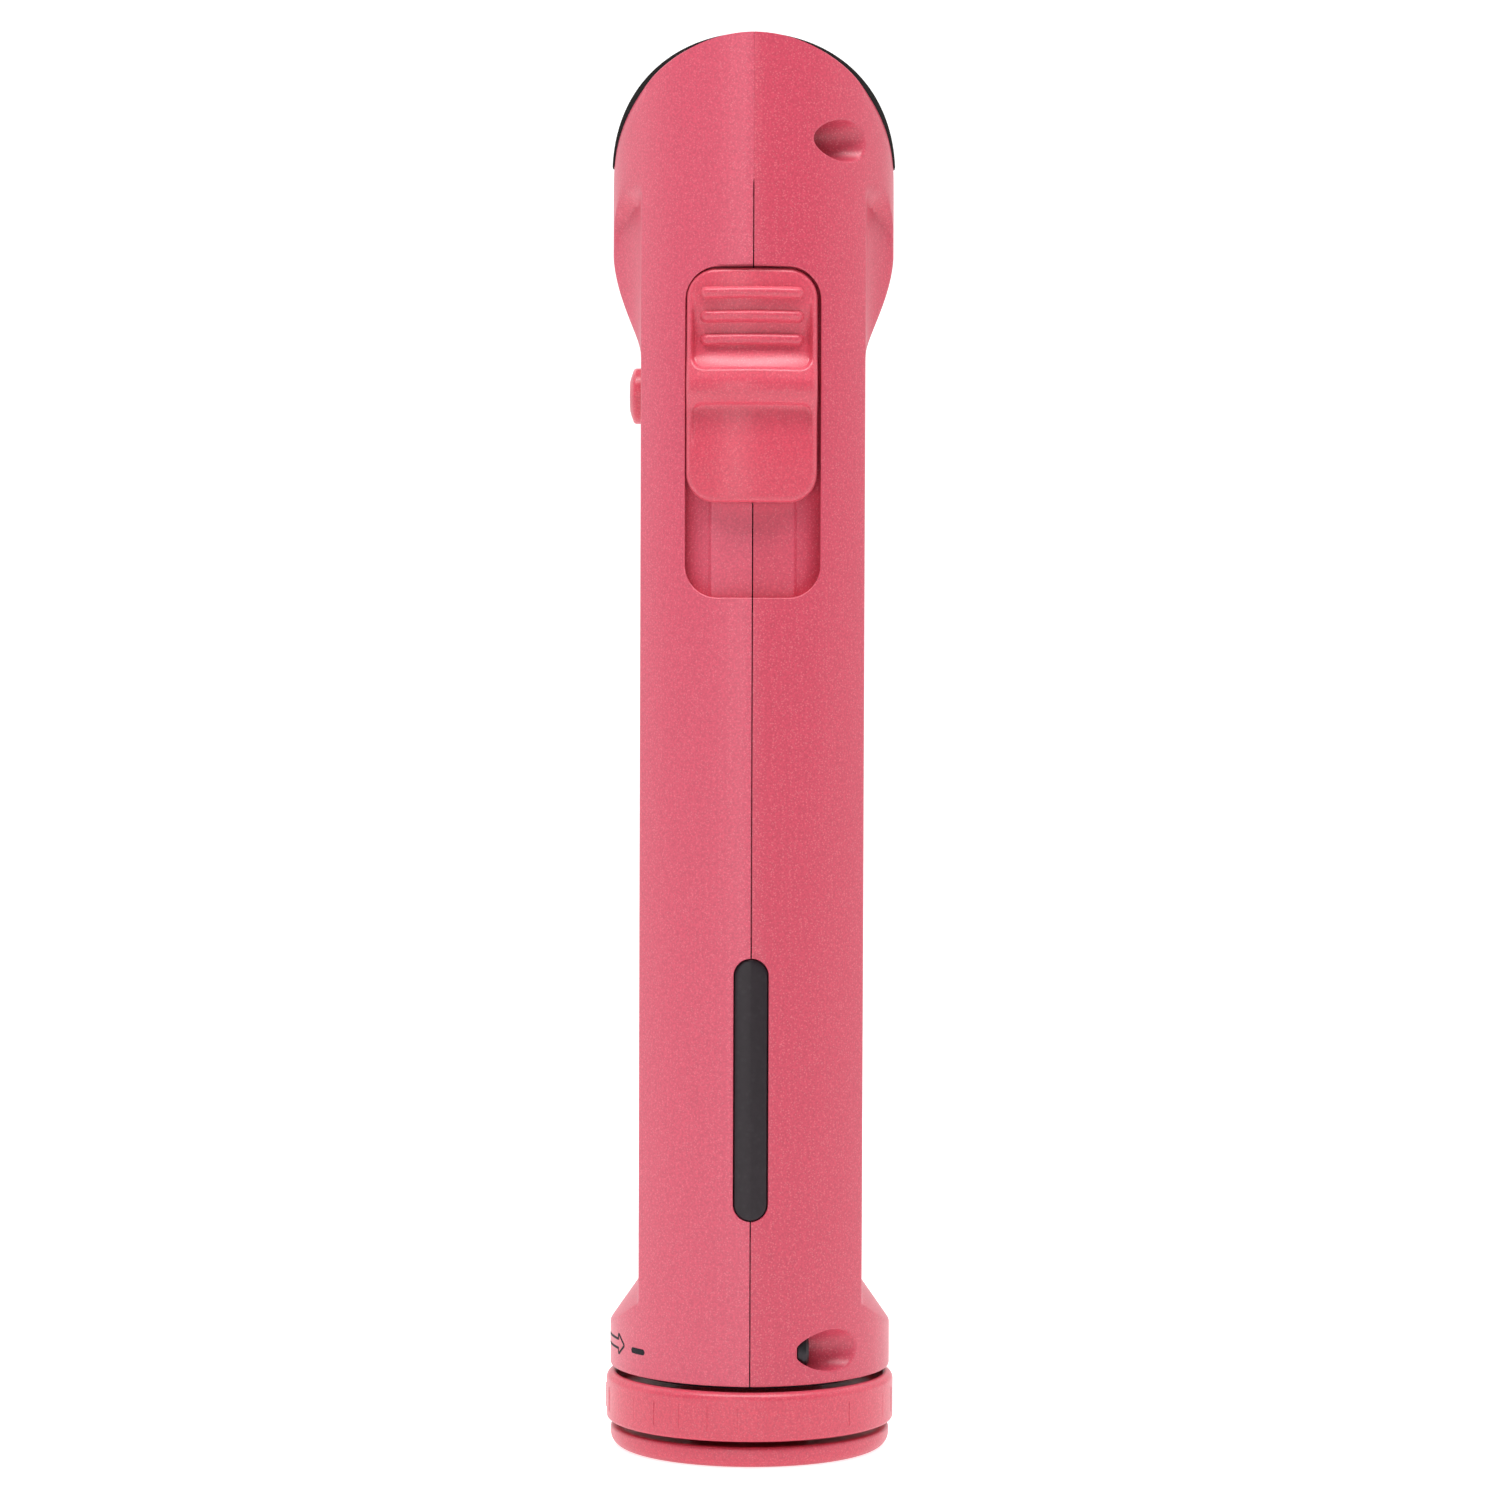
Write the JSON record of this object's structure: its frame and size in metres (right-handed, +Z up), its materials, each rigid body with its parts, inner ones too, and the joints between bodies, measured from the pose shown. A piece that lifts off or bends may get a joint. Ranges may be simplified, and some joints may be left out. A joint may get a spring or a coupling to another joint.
{
  "type": "selfie stick",
  "caption": "Handheld telescoping selfie stick with a rounded two-shell grip, thumb lock slider, light window, panning foot and a folding magnetic phone disc.",
  "frame": {"origin": "centre of the foot's underside, on the axis of the lock ring", "axes": "+Z up along the grip towards the round head; -Y is the front with the thumb slider and the light window; +X is the right-hand shell seen from the front"},
  "size_m": [0.047, 0.0481, 0.2279],
  "materials": {
    "grip_pink_left": "satin moulded plastic, lighter half",
    "grip_pink_right": "satin moulded plastic",
    "soft_pink": "satin moulded plastic",
    "screw_steel": "bright zinc plated steel",
    "black_rubber": "matt black rubber",
    "black_plastic": "fine textured black plastic",
    "smoked_lens": "polished smoked plastic",
    "circuit_board": "green solder mask",
    "cell_wrap": "shrink wrap",
    "socket_steel": "stamped steel",
    "white_nylon": "natural nylon",
    "brass": "turned brass",
    "mast_steel": "drawn stainless tube"
  },
  "bodies": {
    "handle": {"left_shell": "grip_pink_left", "right_shell": "grip_pink_right", "case_screw_upper": "screw_steel", "case_screw_middle": "screw_steel", "case_screw_lower": "screw_steel", "case_screw_heel": "screw_steel", "head_bumper": "black_rubber", "head_back_plate": "black_plastic", "window_lens": "smoked_lens", "light_board": "circuit_board", "battery_cell": "cell_wrap", "battery_cradle": "black_plastic", "main_board": "circuit_board", "charging_socket": "socket_steel", "shutter_switch": "black_plastic", "brake_guide": "white_nylon", "bearing_plate": "black_plastic", "thrust_washer": "white_nylon", "guide_tube": "black_plastic", "mast_collar": "black_plastic"},
    "thumb_lock": {"thumb_slider": "soft_pink", "slider_plate": "white_nylon", "slider_screw": "screw_steel"},
    "brake": {"brake_shoe": "white_nylon", "brake_pad": "black_rubber", "brake_pin": "screw_steel"},
    "shutter_button": {"shutter_button": "soft_pink"},
    "lock_ring": {"lock_ring": "soft_pink"},
    "foot": {"foot_disc": "soft_pink", "foot_pad": "black_rubber", "tripod_insert": "brass", "spindle": "black_plastic", "spindle_nut": "screw_steel"},
    "mast_stage_1": {"mast_tube_1": "mast_steel", "mast_bush_1": "white_nylon"},
    "mast_stage_2": {"mast_tube_2": "mast_steel", "mast_bush_2": "white_nylon"},
    "mast_stage_3": {"mast_tube_3": "mast_steel", "mast_bush_3": "white_nylon"},
    "mast_stage_4": {"mast_tube_4": "mast_steel", "mast_bush_4": "white_nylon", "mast_knuckle": "black_plastic", "tilt_pin": "screw_steel"},
    "tilt_arm": {"tilt_arm": "black_plastic"},
    "phone_disc": {"disc_back": "soft_pink", "disc_pad": "black_rubber", "magnet_ring": "socket_steel", "disc_screw": "screw_steel"}
  },
  "joints": [
    {"name": "thumb_lock_slide", "type": "slide", "parent": "handle", "child": "thumb_lock", "axis": [0, 0, -1], "range_m": [0, 0.0148], "stiffness_N_per_m": 100, "springref_m": -0.01},
    {"name": "brake_slide", "type": "slide", "parent": "handle", "child": "brake", "axis": [0, -1, 0], "range_m": [0, 0.0012]},
    {"name": "shutter_press", "type": "slide", "parent": "handle", "child": "shutter_button", "axis": [1, 0, 0], "range_m": [0, 0.0006], "stiffness_N_per_m": 1500, "springref_m": -0.0004},
    {"name": "lock_ring_turn", "type": "hinge", "parent": "handle", "child": "lock_ring", "pos_m": [0, 0, 0.0083], "axis": [0, 0, 1], "range_deg": [0, 40]},
    {"name": "foot_pan", "type": "hinge", "parent": "handle", "child": "foot", "pos_m": [0, 0, 0.002], "axis": [0, 0, 1], "continuous": true},
    {"name": "mast_extend_1", "type": "slide", "parent": "handle", "child": "mast_stage_1", "axis": [0, 0, 1], "range_m": [0, 0.12]},
    {"name": "mast_extend_2", "type": "slide", "parent": "mast_stage_1", "child": "mast_stage_2", "axis": [0, 0, 1], "range_m": [0, 0.12]},
    {"name": "mast_extend_3", "type": "slide", "parent": "mast_stage_2", "child": "mast_stage_3", "axis": [0, 0, 1], "range_m": [0, 0.12]},
    {"name": "mast_extend_4", "type": "slide", "parent": "mast_stage_3", "child": "mast_stage_4", "axis": [0, 0, 1], "range_m": [0, 0.12]},
    {"name": "head_tilt", "type": "hinge", "parent": "mast_stage_4", "child": "tilt_arm", "pos_m": [0, 0.015, 0.1788], "axis": [-1, 0, 0], "range_deg": [0, 90]},
    {"name": "disc_turn", "type": "hinge", "parent": "tilt_arm", "child": "phone_disc", "pos_m": [0, 0.0138, 0.2045], "axis": [0, 1, 0], "continuous": true}
  ],
  "couplings": [
    {"joint": "brake_slide", "follows": "thumb_lock_slide", "ratio": 0.08108}
  ]
}
